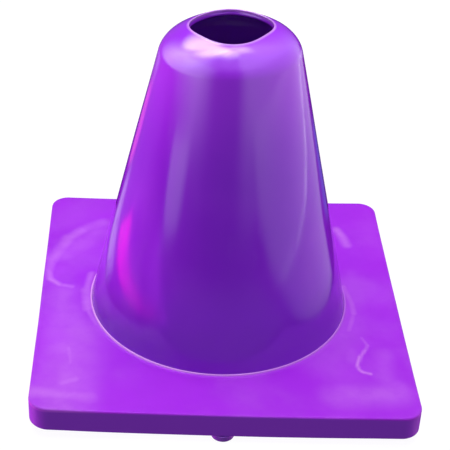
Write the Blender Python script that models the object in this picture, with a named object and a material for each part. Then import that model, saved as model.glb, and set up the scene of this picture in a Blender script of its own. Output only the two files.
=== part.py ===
"""Boundary cone: a hollow soft vinyl marker cone on a square base with four stub feet.

Metres, +Z up. The origin is on the floor under the cone's axis, and -Y is the front.
The cone shell is the first moulding. Its foot flange lies in a rebate under the base slab, the
second moulding, whose vinyl fills the flange's holes and ends in flat heads, like rivets.
The four feet push into blind sockets under the middle of each side of the base.
"""

import math

import bmesh
import bpy
from mathutils import Matrix, Vector

# Driving sizes of the whole cone
OVERALL_HEIGHT = 0.1524
CONE_FOOT_RADIUS = 0.0594
CONE_TOP_RADIUS = 0.0278
MOUTH_RADIUS = 0.0175
WALL = 0.0025
SEAM_GAP = 0.0003

# Shoulder: a quarter ellipse that turns the tapered side in to the mouth
SHOULDER_REACH = 0.0257
SHOULDER_RISE = 0.0159
LIP_ROUNDING = 0.0006
LIP_LAND = 0.0004

# Base slab: BASE_LAND is what shows of it between the cone's foot and the middle of a side
BASE_LAND = 0.0241
BASE_THICKNESS = 0.0114
BASE_CORNER_RADIUS = 0.0085
BASE_EDGE_ROUNDING = 0.0008
COLLAR_WIDTH = 0.0018
COLLAR_HEIGHT = 0.0013
COLLAR_TIP = 0.0003

# Foot flange of the shell, and the heads that lock it into the base
FLANGE_WIDTH = 0.0080
FLANGE_THICKNESS = 0.0032
FLANGE_ROUNDING = 0.0005
STAKE_SHANK_RADIUS = 0.0017
STAKE_HEAD_RADIUS = 0.0026
STAKE_HEAD_THICKNESS = 0.0012
STAKE_COUNT = 8

# Stub feet, pushed into the base: FOOT_INSET is from the edge of its flat underside
FOOT_HEIGHT = 0.0032
FOOT_RADIUS = 0.0050
FOOT_INSET = 0.0002
FOOT_ROUNDING = 0.0007
FOOT_STEM_RADIUS = 0.0023
FOOT_STEM_LENGTH = 0.0060
FOOT_STEM_CHAMFER = 0.0005
SOCKET_END_ROOM = 0.0004

# How far a cutter, or a piece that is to be joined, runs past the faces that it crosses
OVERRUN = 0.0010

# Facets, and how often an interval is halved to find where two curves meet
CONE_SEGMENTS = 72
SHOULDER_STEPS = 8
ROUNDING_STEPS = 2
FILLET_STEPS = 3
CORNER_STEPS = 6
FOOT_SEGMENTS = 24
STAKE_SEGMENTS = 12
HALVINGS = 40

# Levels and slopes that follow from the driving sizes
BASE_BOTTOM = FOOT_HEIGHT
BASE_TOP = BASE_BOTTOM + BASE_THICKNESS
FLANGE_TOP = BASE_BOTTOM + FLANGE_THICKNESS
TAPER = (CONE_FOOT_RADIUS - CONE_TOP_RADIUS) / (OVERALL_HEIGHT - BASE_TOP)
TAPER_ANGLE = math.atan(TAPER)
HALF_SIDE = CONE_FOOT_RADIUS + BASE_LAND

# Colours in linear RGB
GLOSS_VIOLET = (0.215, 0.018, 0.640)
SATIN_VIOLET = (0.330, 0.035, 0.780)


def side_radius(z):
    """Radius of the cone's outer side at a height, inside the base too."""
    return CONE_FOOT_RADIUS - (z - BASE_TOP) * TAPER


def inner_radius(z):
    """Radius of the cone's inner side at a height."""
    return side_radius(z) - WALL / math.cos(TAPER_ANGLE)


FLANGE_RADIUS = side_radius(FLANGE_TOP) + FLANGE_WIDTH
STAKE_CIRCLE_RADIUS = side_radius(FLANGE_TOP) + FLANGE_WIDTH / 2


def rounded(corners):
    """Outline points from (r, z, rounding) corners: each rounding is an arc, and 0 keeps the corner."""
    points = []
    for i, (r, z, rounding) in enumerate(corners):
        here = Vector((r, z))
        if not rounding:
            points.append(here)
            continue
        before = Vector(corners[i - 1][:2]) - here
        after = Vector(corners[(i + 1) % len(corners)][:2]) - here
        half_angle = before.angle(after) / 2
        start = before.normalized() * rounding / math.tan(half_angle)
        middle = (before.normalized() + after.normalized()).normalized()
        centre = middle * rounding / math.sin(half_angle)
        spoke = start - centre
        sweep = math.pi - 2 * half_angle
        turn = -1 if before.cross(after) > 0 else 1
        for step in range(ROUNDING_STEPS + 1):
            angle = turn * sweep * step / ROUNDING_STEPS
            arm = Matrix.Rotation(angle, 2) @ spoke
            points.append(here + centre + arm)
    return points


def mesh_from(bm, name):
    """A mesh with outward normals, smooth on its round faces."""
    bmesh.ops.recalc_face_normals(bm, faces=bm.faces)
    mesh = bpy.data.meshes.new(name)
    bm.to_mesh(mesh)
    bm.free()
    mesh.shade_smooth()
    mesh.set_sharp_from_angle(angle=math.radians(30))
    return mesh


def turned(name, outline, segments, on_axis=False):
    """A mesh turned about Z from an (r, z) outline, closed on itself or ending on the axis."""
    bm = bmesh.new()
    verts = [bm.verts.new((r, 0, z)) for r, z in outline]
    ends = verts[1:] if on_axis else verts[1:] + verts[:1]
    edges = [bm.edges.new(pair) for pair in zip(verts, ends)]
    bmesh.ops.spin(
        bm,
        geom=verts + edges,
        cent=(0, 0, 0),
        axis=(0, 0, 1),
        angle=math.tau,
        steps=segments,
        use_merge=True,
    )
    if on_axis:
        poles = [v for v in bm.verts if v.co.xy.length < SEAM_GAP / 2]
        bmesh.ops.remove_doubles(bm, verts=poles, dist=SEAM_GAP / 10)
    return mesh_from(bm, name)


def add_object(name, mesh, parent, material=None, location=(0, 0, 0), turn=0):
    """A placed object. One without a material is a cutter or a piece to join, which isn't shown."""
    obj = bpy.data.objects.new(name, mesh)
    bpy.context.scene.collection.objects.link(obj)
    obj.parent = parent
    obj.location = location
    obj.rotation_euler = (0, 0, turn)
    if material:
        if not mesh.materials:
            mesh.materials.append(material)
    else:
        obj.hide_render = True
        obj.display_type = "WIRE"
    return obj


def vinyl(name, colour, roughness):
    """Plain vinyl: a Principled BSDF."""
    material = bpy.data.materials.new(name)
    material.use_nodes = True
    shader = material.node_tree.nodes["Principled BSDF"]
    shader.inputs["Base Color"].default_value = (*colour, 1)
    shader.inputs["Roughness"].default_value = roughness
    shader.inputs["Metallic"].default_value = 0
    return material


def combine(obj, other, operation):
    """Joins other to obj, or cuts it out of obj."""
    modifier = obj.modifiers.new(other.name, "BOOLEAN")
    modifier.operation = operation
    modifier.solver = "EXACT"
    modifier.object = other


def around(count, radius):
    """Count places evenly spaced on a circle, as (x, y)."""
    angles = [math.tau * (i + 0.5) / count for i in range(count)]
    return [(radius * math.cos(angle), radius * math.sin(angle)) for angle in angles]


def stake_outline(clearance, top):
    """Half outline of a stake: a flat head at the base's underside on a shank that runs up to top."""
    head_top = BASE_BOTTOM + STAKE_HEAD_THICKNESS + clearance
    bottom = BASE_BOTTOM - (OVERRUN if clearance else 0)
    head = STAKE_HEAD_RADIUS + clearance
    shank = STAKE_SHANK_RADIUS + clearance
    return [(0, bottom), (head, bottom), (head, head_top), (shank, head_top), (shank, top), (0, top)]


def stakes(name, clearance, top):
    """Every stake of the ring as one mesh of separate bodies."""
    bm = bmesh.new()
    one = turned(name, stake_outline(clearance, top), STAKE_SEGMENTS, on_axis=True)
    for x, y in around(STAKE_COUNT, STAKE_CIRCLE_RADIUS):
        before = len(bm.verts)
        bm.from_mesh(one)
        bmesh.ops.translate(bm, verts=bm.verts[before:], vec=(x, y, 0))
    bpy.data.meshes.remove(one)
    return mesh_from(bm, name)


class Shoulder:
    """The ellipse that leaves the cone's side on a tangent and ends at the lip, at full height."""

    def __init__(self):
        lip_radius = MOUTH_RADIUS + LIP_ROUNDING + LIP_LAND
        span = math.hypot(SHOULDER_REACH, SHOULDER_RISE * TAPER)
        self.start = math.atan2(SHOULDER_RISE * TAPER, SHOULDER_REACH)
        self.end = self.start + math.acos(1 - (CONE_TOP_RADIUS - lip_radius) / span)
        self.centre = Vector((
            lip_radius - SHOULDER_REACH * math.cos(self.end),
            OVERALL_HEIGHT - SHOULDER_RISE * math.sin(self.end),
        ))

    def point(self, t, depth=0):
        """The (r, z) point at parameter t, that depth under the outer surface."""
        across = Vector((SHOULDER_REACH * math.cos(t), SHOULDER_RISE * math.sin(t)))
        normal = Vector((math.cos(t) / SHOULDER_REACH, math.sin(t) / SHOULDER_RISE)).normalized()
        return self.centre + across - normal * depth

    def inner_end(self):
        """Parameter at which the inner surface meets the mouth's wall, found by halving."""
        low, high = self.start, self.end
        for _ in range(HALVINGS):
            middle = (low + high) / 2
            if self.point(middle, WALL).x > MOUTH_RADIUS:
                low = middle
            else:
                high = middle
        return (low + high) / 2

    def arc(self, end, depth=0):
        """Evenly spaced points from the cone's side up to the end parameter."""
        sweep = end - self.start
        steps = [self.start + sweep * i / SHOULDER_STEPS for i in range(SHOULDER_STEPS + 1)]
        return [self.point(t, depth) for t in steps]


def shell_outline():
    """Section of the shell, from its inner bottom edge round the flange and up the outside."""
    shoulder = Shoulder()
    inner_end = shoulder.inner_end()
    corners = [
        (inner_radius(BASE_BOTTOM), BASE_BOTTOM, FLANGE_ROUNDING),
        (FLANGE_RADIUS, BASE_BOTTOM, 0),
        (FLANGE_RADIUS, FLANGE_TOP, FLANGE_ROUNDING),
        (side_radius(FLANGE_TOP), FLANGE_TOP, 0),
    ]
    corners += [(r, z, 0) for r, z in shoulder.arc(shoulder.end)]
    corners.append((MOUTH_RADIUS, OVERALL_HEIGHT, LIP_ROUNDING))
    corners += [(r, z, 0) for r, z in reversed(shoulder.arc(inner_end, WALL))]
    return rounded(corners)


def make_shell(parent):
    """The first moulding: the tapered body, its domed shoulder with the mouth, and its foot flange."""
    outline = shell_outline()
    shell = add_object(
        "cone_shell",
        turned("cone_shell", outline, CONE_SEGMENTS),
        parent,
        vinyl("gloss_violet_vinyl", GLOSS_VIOLET, 0.18),
    )
    holes = stakes("flange_holes", SEAM_GAP, FLANGE_TOP + OVERRUN)
    combine(shell, add_object("flange_holes", holes, parent), "DIFFERENCE")
    return shell


def slab_mesh():
    """The square slab with round corners and eased top and bottom edges, before anything is cut."""
    bm = bmesh.new()
    reach = HALF_SIDE - BASE_CORNER_RADIUS
    outline = []
    for corner in range(4):
        turn = Matrix.Rotation(corner * math.pi / 2, 3, "Z")
        for step in range(CORNER_STEPS + 1):
            angle = math.pi / 2 * step / CORNER_STEPS
            x = reach + BASE_CORNER_RADIUS * math.cos(angle)
            y = reach + BASE_CORNER_RADIUS * math.sin(angle)
            outline.append(bm.verts.new(turn @ Vector((x, y, BASE_BOTTOM))))
    bottom = bm.faces.new(outline)
    top = bmesh.ops.extrude_face_region(bm, geom=[bottom])["geom"]
    raised = [item for item in top if isinstance(item, bmesh.types.BMVert)]
    bmesh.ops.translate(bm, verts=raised, vec=(0, 0, BASE_THICKNESS))
    rim = [edge for edge in bm.edges if edge.verts[0].co.z == edge.verts[1].co.z]
    bmesh.ops.bevel(
        bm,
        geom=rim,
        offset=BASE_EDGE_ROUNDING,
        offset_type="OFFSET",
        segments=ROUNDING_STEPS,
        profile=0.5,
        affect="EDGES",
    )
    return mesh_from(bm, "base_slab")


def collar_outline():
    """Section of the low hollow fillet that the base turns up against the cone's foot."""
    inside = CONE_FOOT_RADIUS - OVERRUN
    tip = CONE_FOOT_RADIUS + SEAM_GAP + COLLAR_TIP
    points = [(inside, BASE_TOP - OVERRUN), (tip + COLLAR_WIDTH, BASE_TOP - OVERRUN)]
    for step in range(FILLET_STEPS + 1):
        angle = math.pi / 2 * step / FILLET_STEPS
        r = tip + COLLAR_WIDTH * (1 - math.sin(angle))
        z = BASE_TOP + COLLAR_HEIGHT * (1 - math.cos(angle))
        points.append((r, z))
    return [*points, (inside, BASE_TOP + COLLAR_HEIGHT)]


def seat_outline():
    """Section of what is cut from the slab for the shell: its tapered wall and, below, its flange."""
    above = BASE_TOP + COLLAR_HEIGHT + OVERRUN
    below = BASE_BOTTOM - OVERRUN
    ceiling = FLANGE_TOP + SEAM_GAP
    rebate = FLANGE_RADIUS + SEAM_GAP
    gap = SEAM_GAP / math.cos(TAPER_ANGLE)
    return [
        (0, below),
        (rebate, below),
        (rebate, ceiling),
        (side_radius(ceiling) + gap, ceiling),
        (side_radius(above) + gap, above),
        (0, above),
    ]


def foot_places():
    """Name, (x, y) and turn of each foot, under the middle of each side."""
    reach = HALF_SIDE - BASE_EDGE_ROUNDING - FOOT_INSET - FOOT_RADIUS
    names = ["foot_front", "foot_right", "foot_back", "foot_left"]
    turns = [i * math.pi / 2 for i in range(len(names))]
    return [
        (name, (reach * math.sin(turn), -reach * math.cos(turn)), turn)
        for name, turn in zip(names, turns)
    ]


def socket_outline():
    """Section of a foot's blind socket."""
    radius = FOOT_STEM_RADIUS + SEAM_GAP
    depth = BASE_BOTTOM + FOOT_STEM_LENGTH + SOCKET_END_ROOM
    below = BASE_BOTTOM - OVERRUN
    return [(0, below), (radius, below), (radius, depth), (0, depth)]


def make_base(parent):
    """The second moulding: the square slab that the shell's foot is locked into."""
    slab = add_object(
        "base_slab",
        slab_mesh(),
        parent,
        vinyl("satin_violet_vinyl", SATIN_VIOLET, 0.38),
    )
    collar = turned("collar", collar_outline(), CONE_SEGMENTS)
    combine(slab, add_object("collar", collar, parent), "UNION")
    seat = turned("shell_seat", seat_outline(), CONE_SEGMENTS, on_axis=True)
    combine(slab, add_object("shell_seat", seat, parent), "DIFFERENCE")
    lock = stakes("stakes", 0, FLANGE_TOP + SEAM_GAP + OVERRUN)
    combine(slab, add_object("stakes", lock, parent), "UNION")
    socket = turned("foot_socket", socket_outline(), FOOT_SEGMENTS, on_axis=True)
    for name, (x, y), turn in foot_places():
        cutter = add_object(f"socket_of_{name}", socket, parent, location=(x, y, 0), turn=turn)
        combine(slab, cutter, "DIFFERENCE")
    return slab


def foot_outline():
    """Half section of a foot: a round head on the floor, and the stem that pushes into the base."""
    head_top = FOOT_HEIGHT - SEAM_GAP
    stem_top = BASE_BOTTOM + FOOT_STEM_LENGTH
    chamfer_radius = FOOT_STEM_RADIUS - FOOT_STEM_CHAMFER
    corners = [
        (0, 0, 0),
        (FOOT_RADIUS, 0, FOOT_ROUNDING),
        (FOOT_RADIUS, head_top, 0),
        (FOOT_STEM_RADIUS, head_top, 0),
        (FOOT_STEM_RADIUS, stem_top - FOOT_STEM_CHAMFER, 0),
        (chamfer_radius, stem_top, 0),
        (0, stem_top, 0),
    ]
    return rounded(corners)


def make_feet(parent):
    """Four stub feet, which share one mesh."""
    material = vinyl("foot_violet_vinyl", SATIN_VIOLET, 0.5)
    mesh = turned("foot", foot_outline(), FOOT_SEGMENTS, on_axis=True)
    for name, (x, y), turn in foot_places():
        add_object(name, mesh, parent, material, location=(x, y, 0), turn=turn)


def clear_scene():
    """Removes every object that the file starts with."""
    for obj in list(bpy.data.objects):
        bpy.data.objects.remove(obj)


def main():
    clear_scene()
    root = bpy.data.objects.new("boundary_cone", None)
    bpy.context.scene.collection.objects.link(root)
    make_shell(root)
    make_base(root)
    make_feet(root)


main()
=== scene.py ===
import math
from typing import NamedTuple

import bmesh
import bpy
from mathutils import Matrix, Vector, noise


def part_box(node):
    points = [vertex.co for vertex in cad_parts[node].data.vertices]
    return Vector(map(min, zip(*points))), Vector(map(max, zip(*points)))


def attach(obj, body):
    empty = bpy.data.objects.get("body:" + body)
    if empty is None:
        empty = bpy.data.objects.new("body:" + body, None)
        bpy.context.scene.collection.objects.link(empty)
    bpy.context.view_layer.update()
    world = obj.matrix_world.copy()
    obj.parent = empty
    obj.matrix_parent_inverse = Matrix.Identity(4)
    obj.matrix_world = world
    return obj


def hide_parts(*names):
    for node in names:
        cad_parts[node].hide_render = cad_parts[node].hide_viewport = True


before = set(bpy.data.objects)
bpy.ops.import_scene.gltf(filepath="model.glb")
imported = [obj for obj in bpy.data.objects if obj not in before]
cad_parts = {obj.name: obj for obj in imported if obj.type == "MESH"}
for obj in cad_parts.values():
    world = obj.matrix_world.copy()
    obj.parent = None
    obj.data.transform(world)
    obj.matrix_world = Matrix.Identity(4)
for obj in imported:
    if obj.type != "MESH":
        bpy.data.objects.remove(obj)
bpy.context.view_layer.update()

ROOT = "root"
MM = 0.001

# Sizes read from the frame
_, shell_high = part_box("cone_shell")
slab_low, slab_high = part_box("base_slab")
FULL_HEIGHT = shell_high.z
FLANGE_RADIUS = shell_high.x
HALF_SIDE = slab_high.x
UNDERSIDE = slab_low.z

# The rest of the cone's sizes, in metres
CONE_FOOT_RADIUS = 59.4 * MM
CONE_TOP_RADIUS = 27.8 * MM
MOUTH_RADIUS = 17.5 * MM
WALL = 2.5 * MM
SEAM_GAP = 0.3 * MM
COLLAR_HEIGHT = 1.3 * MM
BASE_TOP = slab_high.z - COLLAR_HEIGHT
SLAB_MIDDLE = (BASE_TOP + UNDERSIDE) / 2
TAPER = (CONE_FOOT_RADIUS - CONE_TOP_RADIUS) / (FULL_HEIGHT - BASE_TOP)
TAPER_ANGLE = math.atan(TAPER)

# Shoulder, the fine bead round the mouth, and the small ledge inside it
SHOULDER_REACH = 25.7 * MM
SHOULDER_RISE = 15.75 * MM
LIP_BEAD_RADIUS = 0.34 * MM
LIP_BEAD_HEIGHT = 0.32 * MM
MOUTH_DRAFT = 0.20 * MM
LEDGE_WIDTH = 0.20 * MM
LEDGE_HEIGHT = 0.60 * MM
MOUTH_ROUNDING = 0.5 * MM

# Base slab
CORNER_RADIUS = 8.5 * MM
EDGE_ROUNDING = 0.9 * MM
COLLAR_WIDTH = 2.6 * MM
COLLAR_RISE = 0.65 * MM
COLLAR_BEAD_RADIUS = 0.35 * MM
COLLAR_BEAD_GAP = 0.06 * MM
FLANGE_THICKNESS = 3.2 * MM
FLANGE_ROUNDING = 0.5 * MM
FLANGE_WIDTH = 8.0 * MM

# Stakes of the base that fill the flange's holes
STAKE_COUNT = 8
STAKE_SHANK_RADIUS = 1.7 * MM
STAKE_HEAD_RADIUS = 2.6 * MM
STAKE_HEAD_THICKNESS = 1.2 * MM

# Stub feet and their sockets
FOOT_STEM_RADIUS = 2.3 * MM
FOOT_STEM_LENGTH = 6.0 * MM
FOOT_ROUNDING = 0.7 * MM
FOOT_CHAMFER = 0.3 * MM
FOOT_SPLAY = 1.3 * MM
SOCKET_END_ROOM = 0.4 * MM
FEET = ("foot_front", "foot_right", "foot_back", "foot_left")
OVERRUN = 1.0 * MM

# Fineness of the meshes
SHELL_COLUMNS = 288
SIDE_ROWS = 44
SHOULDER_ROWS = 34
BEAD_ROWS = 8
SEAT_ROWS = 3
COLLAR_ROWS = 8
ROUNDING_ROWS = 6
TOP_ROWS = 40
BOTTOM_ROWS = 8
SLAB_SIDE_STEPS = 120
SLAB_SIDE_ROWS = 5
SLAB_CORNER_STEPS = 14
FOOT_COLUMNS = 64
STAKE_COLUMNS = 40
SEARCH_ROUNDS = 40
SHARP_ANGLE = math.radians(35)


# Outlines

def arc_corner(before, here, after, radius):
    """Points of the arc of that radius that rounds the corner at here."""
    here = Vector(here)
    back = (Vector(before) - here).normalized()
    ahead = (Vector(after) - here).normalized()
    half_angle = back.angle(ahead) / 2
    start = back * radius / math.tan(half_angle)
    centre = (back + ahead).normalized() * radius / math.sin(half_angle)
    sweep = math.pi - 2 * half_angle
    turn = -1 if back.cross(ahead) > 0 else 1
    spoke = start - centre
    return [
        here + centre + Matrix.Rotation(turn * sweep * i / ROUNDING_ROWS, 2) @ spoke
        for i in range(ROUNDING_ROWS + 1)
    ]


def rounded(corners):
    """Outline from (r, z, rounding) corners, where 0 keeps the corner sharp."""
    points = []
    for i, (r, z, radius) in enumerate(corners):
        if radius:
            before = corners[i - 1][:2]
            after = corners[(i + 1) % len(corners)][:2]
            points += arc_corner(before, (r, z), after, radius)
        else:
            points.append(Vector((r, z)))
    return points


def divided(points, start, end, rows):
    """The outline with the straight run between the two points nearest start and end cut in rows."""
    first = min(range(len(points)), key=lambda i: (points[i] - Vector(start)).length)
    last = min(range(len(points)), key=lambda i: (points[i] - Vector(end)).length)
    inner = [points[first].lerp(points[last], row / rows) for row in range(1, rows)]
    return points[: first + 1] + inner + points[last:]


def side_radius(z):
    """Radius of the cone's outer side at a height."""
    return CONE_FOOT_RADIUS - (z - BASE_TOP) * TAPER


def inner_radius(z):
    """Radius of the cone's inner side at a height."""
    return side_radius(z) - WALL / math.cos(TAPER_ANGLE)


THROAT_RADIUS = MOUTH_RADIUS - MOUTH_DRAFT
LIP_BEAD_CENTRE = Vector((MOUTH_RADIUS + LIP_BEAD_RADIUS, FULL_HEIGHT - LIP_BEAD_RADIUS))
FLANGE_TOP = UNDERSIDE + FLANGE_THICKNESS
STAKE_CIRCLE_RADIUS = side_radius(FLANGE_TOP) + FLANGE_WIDTH / 2


class Shoulder:
    """The ellipse from the cone's tapered side in to the lip, at full height."""

    def __init__(self):
        lip_radius = MOUTH_RADIUS + 2 * LIP_BEAD_RADIUS
        span = math.hypot(SHOULDER_REACH, SHOULDER_RISE * TAPER)
        self.start = math.atan2(SHOULDER_RISE * TAPER, SHOULDER_REACH)
        self.end = self.start + math.acos(1 - (CONE_TOP_RADIUS - lip_radius) / span)
        self.centre = Vector((
            lip_radius - SHOULDER_REACH * math.cos(self.end),
            FULL_HEIGHT - LIP_BEAD_HEIGHT - SHOULDER_RISE * math.sin(self.end),
        ))

    def point(self, t, depth=0):
        """The (r, z) point at parameter t, that depth under the outer surface."""
        across = Vector((SHOULDER_REACH * math.cos(t), SHOULDER_RISE * math.sin(t)))
        normal = Vector((math.cos(t) / SHOULDER_REACH, math.sin(t) / SHOULDER_RISE))
        return self.centre + across - normal.normalized() * depth

    def arc(self, end, depth=0):
        """Evenly spaced points from the cone's side up to the end parameter."""
        sweep = end - self.start
        shares = [i / SHOULDER_ROWS for i in range(SHOULDER_ROWS + 1)]
        return [self.point(self.start + sweep * t, depth) for t in shares]

    def inner_end(self):
        """Parameter at which the inner surface meets the mouth's wall."""
        low, high = self.start, self.end
        for _ in range(SEARCH_ROUNDS):
            middle = (low + high) / 2
            if self.point(middle, WALL).x > THROAT_RADIUS:
                low = middle
            else:
                high = middle
        return (low + high) / 2


def lip_bead():
    """The rounded bead round the mouth, from the shoulder over the top to the mouth's wall."""
    first = math.asin(1 - LIP_BEAD_HEIGHT / LIP_BEAD_RADIUS)
    points = []
    for row in range(1, BEAD_ROWS + 1):
        angle = first + (math.pi - first) * row / BEAD_ROWS
        spoke = Vector((math.cos(angle), math.sin(angle)))
        points.append(LIP_BEAD_CENTRE + spoke * LIP_BEAD_RADIUS)
    return points


def shell_outline():
    """Closed section of the shell: inner bottom edge, flange, outer side, shoulder, lip, inner side."""
    shoulder = Shoulder()
    outer = shoulder.arc(shoulder.end)
    inner = shoulder.arc(shoulder.inner_end(), WALL)
    corners = [
        (inner_radius(UNDERSIDE), UNDERSIDE, FLANGE_ROUNDING),
        (FLANGE_RADIUS, UNDERSIDE, FLANGE_ROUNDING / 2),
        (FLANGE_RADIUS, FLANGE_TOP, FLANGE_ROUNDING),
        (side_radius(FLANGE_TOP), FLANGE_TOP, FLANGE_ROUNDING / 2),
    ]
    corners += [(r, z, 0) for r, z in outer + lip_bead()]
    throat = inner[-1].y
    corners.append((THROAT_RADIUS + LEDGE_WIDTH, throat + 2 * LEDGE_HEIGHT, 0))
    corners.append((THROAT_RADIUS, throat + LEDGE_HEIGHT * 3 / 2, 0))
    corners.append((THROAT_RADIUS, throat, MOUTH_ROUNDING))
    corners += [(r, z, 0) for r, z in reversed(inner[:-2])]
    side_foot = (side_radius(FLANGE_TOP), FLANGE_TOP)
    return divided(rounded(corners), side_foot, outer[0], SIDE_ROWS)


# Meshes

def new_mesh(name, verts, faces):
    """A mesh of those points and faces."""
    mesh = bpy.data.meshes.new(name)
    mesh.from_pydata(verts, [], faces)
    return mesh


def band_faces(rows, columns, joined=False):
    """Faces between rings of points, each closed on itself. If joined, the last ring meets the first."""
    faces = []
    for i in range(rows if joined else rows - 1):
        here = i * columns
        above = (i + 1) % rows * columns
        for j in range(columns):
            k = (j + 1) % columns
            faces.append((here + j, here + k, above + k, above + j))
    return faces


def ring_mesh(name, rings):
    """A closed mesh from rings of equal length, each joined to the next and the last to the first."""
    verts = [point for ring in rings for point in ring]
    return new_mesh(name, verts, band_faces(len(rings), len(rings[0]), joined=True))


def outward(mesh):
    """Turns the faces of a closed mesh outwards and shades its round faces smooth."""
    bm = bmesh.new()
    bm.from_mesh(mesh)
    bmesh.ops.recalc_face_normals(bm, faces=bm.faces)
    bm.to_mesh(mesh)
    bm.free()
    mesh.shade_smooth()
    mesh.set_sharp_from_angle(angle=SHARP_ANGLE)
    return mesh


def turned_rings(outline, columns):
    """Rings of an (r, z) outline turned about Z."""
    turns = [math.tau * i / columns for i in range(columns)]
    return [[Vector((r * math.cos(a), r * math.sin(a), z)) for a in turns] for r, z in outline]


def turned_solid(name, outline, columns):
    """A closed mesh turned from an (r, z) outline that starts and ends on the axis."""
    rings = turned_rings(outline[1:-1], columns)
    verts = [point for ring in rings for point in ring]
    faces = band_faces(len(rings), columns)
    for end, ring in ((outline[0], 0), (outline[-1], len(rings) - 1)):
        pole = len(verts)
        verts.append(Vector((0, 0, end[1])))
        for j in range(columns):
            k = (j + 1) % columns
            faces.append((pole, ring * columns + j, ring * columns + k))
    return outward(new_mesh(name, verts, faces))


def add_object(name, mesh):
    """Puts a mesh in the scene as an object of that name."""
    obj = bpy.data.objects.new(name, mesh)
    bpy.context.scene.collection.objects.link(obj)
    return obj


def stake_solids(name, clearance, top):
    """Every stake of the ring: a flat head at the underside on a shank that runs up to top."""
    head_top = UNDERSIDE + STAKE_HEAD_THICKNESS + clearance
    bottom = UNDERSIDE - (OVERRUN if clearance else 0)
    head = STAKE_HEAD_RADIUS + clearance
    shank = STAKE_SHANK_RADIUS + clearance
    outline = [(0, bottom), (head, bottom), (head, head_top), (shank, head_top), (shank, top), (0, top)]
    one = turned_solid(name + "_one", outline, STAKE_COLUMNS)
    bm = bmesh.new()
    for i in range(STAKE_COUNT):
        turn = math.tau * (i + 0.5) / STAKE_COUNT
        place = Vector((math.cos(turn), math.sin(turn), 0)) * STAKE_CIRCLE_RADIUS
        before = len(bm.verts)
        bm.from_mesh(one)
        bmesh.ops.translate(bm, verts=bm.verts[before:], vec=place)
    mesh = bpy.data.meshes.new(name)
    bm.to_mesh(mesh)
    bm.free()
    return outward(mesh)


def combined(obj, others):
    """Applies Boolean (operation, mesh) pairs to an object's mesh."""
    cutters = []
    for operation, mesh in others:
        cutter = add_object("cutter", mesh)
        modifier = obj.modifiers.new("join", "BOOLEAN")
        modifier.operation = operation
        modifier.solver = "EXACT"
        modifier.object = cutter
        cutters.append(cutter)
    graph = bpy.context.evaluated_depsgraph_get()
    graph.update()
    result = bpy.data.meshes.new_from_object(obj.evaluated_get(graph))
    obj.modifiers.clear()
    obj.data = outward(result)
    for cutter in cutters:
        bpy.data.objects.remove(cutter)


def ease(t):
    """Smooth step from 0 to 1."""
    t = min(max(t, 0), 1)
    return t * t * (3 - 2 * t)


# Cone shell

SHELL_WAVE = 0.05 * MM
SHELL_WAVE_LENGTH = 22 * MM
SHELL_WAVE_FADE = 14 * MM

# The soft cap leans a little to the back and the left, and the mouth is cut a little out of round
CAP_SLOPE = Vector((0.030, -0.035))
CAP_START = 90 * MM
CAP_FADE = 50 * MM
MOUTH_OVAL_SHARE = -0.033
MOUTH_PEAR_SHARE = 0.030
MOUTH_LOBE_SHARE = 0.034
MOUTH_FADE = 10 * MM

# How far out the lip's painted highlight goes, in radii of its bead, and how sharply it ends
LIP_REACH = 1.3
LIP_SHARPNESS = 4
UNDOING_ROUNDS = 3


def shell_wave(point):
    """The slight waviness of the moulded side, which makes its reflections waver."""
    fade = ease((point.z - BASE_TOP - COLLAR_HEIGHT) / SHELL_WAVE_FADE)
    outwards = Vector((point.x, point.y, 0)).normalized()
    place = Vector((point.x, point.y, point.z / 2)) / SHELL_WAVE_LENGTH
    return outwards * SHELL_WAVE * fade * noise.noise(place)


def cap_shift(point):
    """How the cap and the mouth depart from a true round at a point."""
    flat = Vector((point.x, point.y, 0))
    angle = math.atan2(point.y, point.x)
    in_cap = ease((point.z - CAP_START) / CAP_FADE)
    near_mouth = ease(1 - (flat.length - MOUTH_RADIUS) / MOUTH_FADE) * in_cap
    out_of_round = MOUTH_OVAL_SHARE * math.cos(2 * angle)
    out_of_round += MOUTH_PEAR_SHARE * math.sin(3 * angle) + MOUTH_LOBE_SHARE * math.cos(4 * angle)
    slope = CAP_SLOPE.dot(point.xy) * in_cap
    return near_mouth * out_of_round * flat + Vector((0, 0, slope))


def lip_strength(point):
    """How far a point of the finished shell lies on the bead round the mouth, from 0 to 1."""
    before_shift = point
    for _ in range(UNDOING_ROUNDS):
        before_shift = point - cap_shift(before_shift)
    from_bead = (Vector((before_shift.xy.length, before_shift.z)) - LIP_BEAD_CENTRE).length
    return ease((LIP_REACH - from_bead / LIP_BEAD_RADIUS) * LIP_SHARPNESS)


def make_shell():
    """The cone shell with its flange, its holes and its bead, which the material looks up to paint a
    highlight on.
    """
    rings = turned_rings(shell_outline(), SHELL_COLUMNS)
    for ring in rings:
        for point in ring:
            if point.z > BASE_TOP and point.xy.length > inner_radius(point.z) + WALL / 2:
                point += shell_wave(point)
            point += cap_shift(point)
    shell = add_object("dressed_shell", outward(ring_mesh("dressed_shell", rings)))
    combined(shell, [("DIFFERENCE", stake_solids("holes", SEAM_GAP, FLANGE_TOP + OVERRUN))])
    lip = shell.data.attributes.new("lip", "FLOAT", "POINT")
    for vertex, value in zip(shell.data.vertices, lip.data):
        value.value = lip_strength(vertex.co)
    return shell


# Base slab

# How far each corner has moved as the slab warped, and how high it has curled
CORNERS = (
    ((-1, -1), Vector((1.5, 0.2, 1.35)) * MM),
    ((1, -1), Vector((0.6, -3.5, 0.95)) * MM),
    ((1, 1), Vector((0.9, -0.4, 1.00)) * MM),
    ((-1, 1), Vector((-0.6, 0.5, 1.05)) * MM),
)
TOP_WAVE = 0.10 * MM
TOP_WAVE_LENGTH = 34 * MM
EDGE_WAVE = 0.12 * MM
EDGE_WAVE_LENGTH = 26 * MM
EDGE_WAVE_REACH = 8 * MM
RIM_SAG = 0.35 * MM
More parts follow.
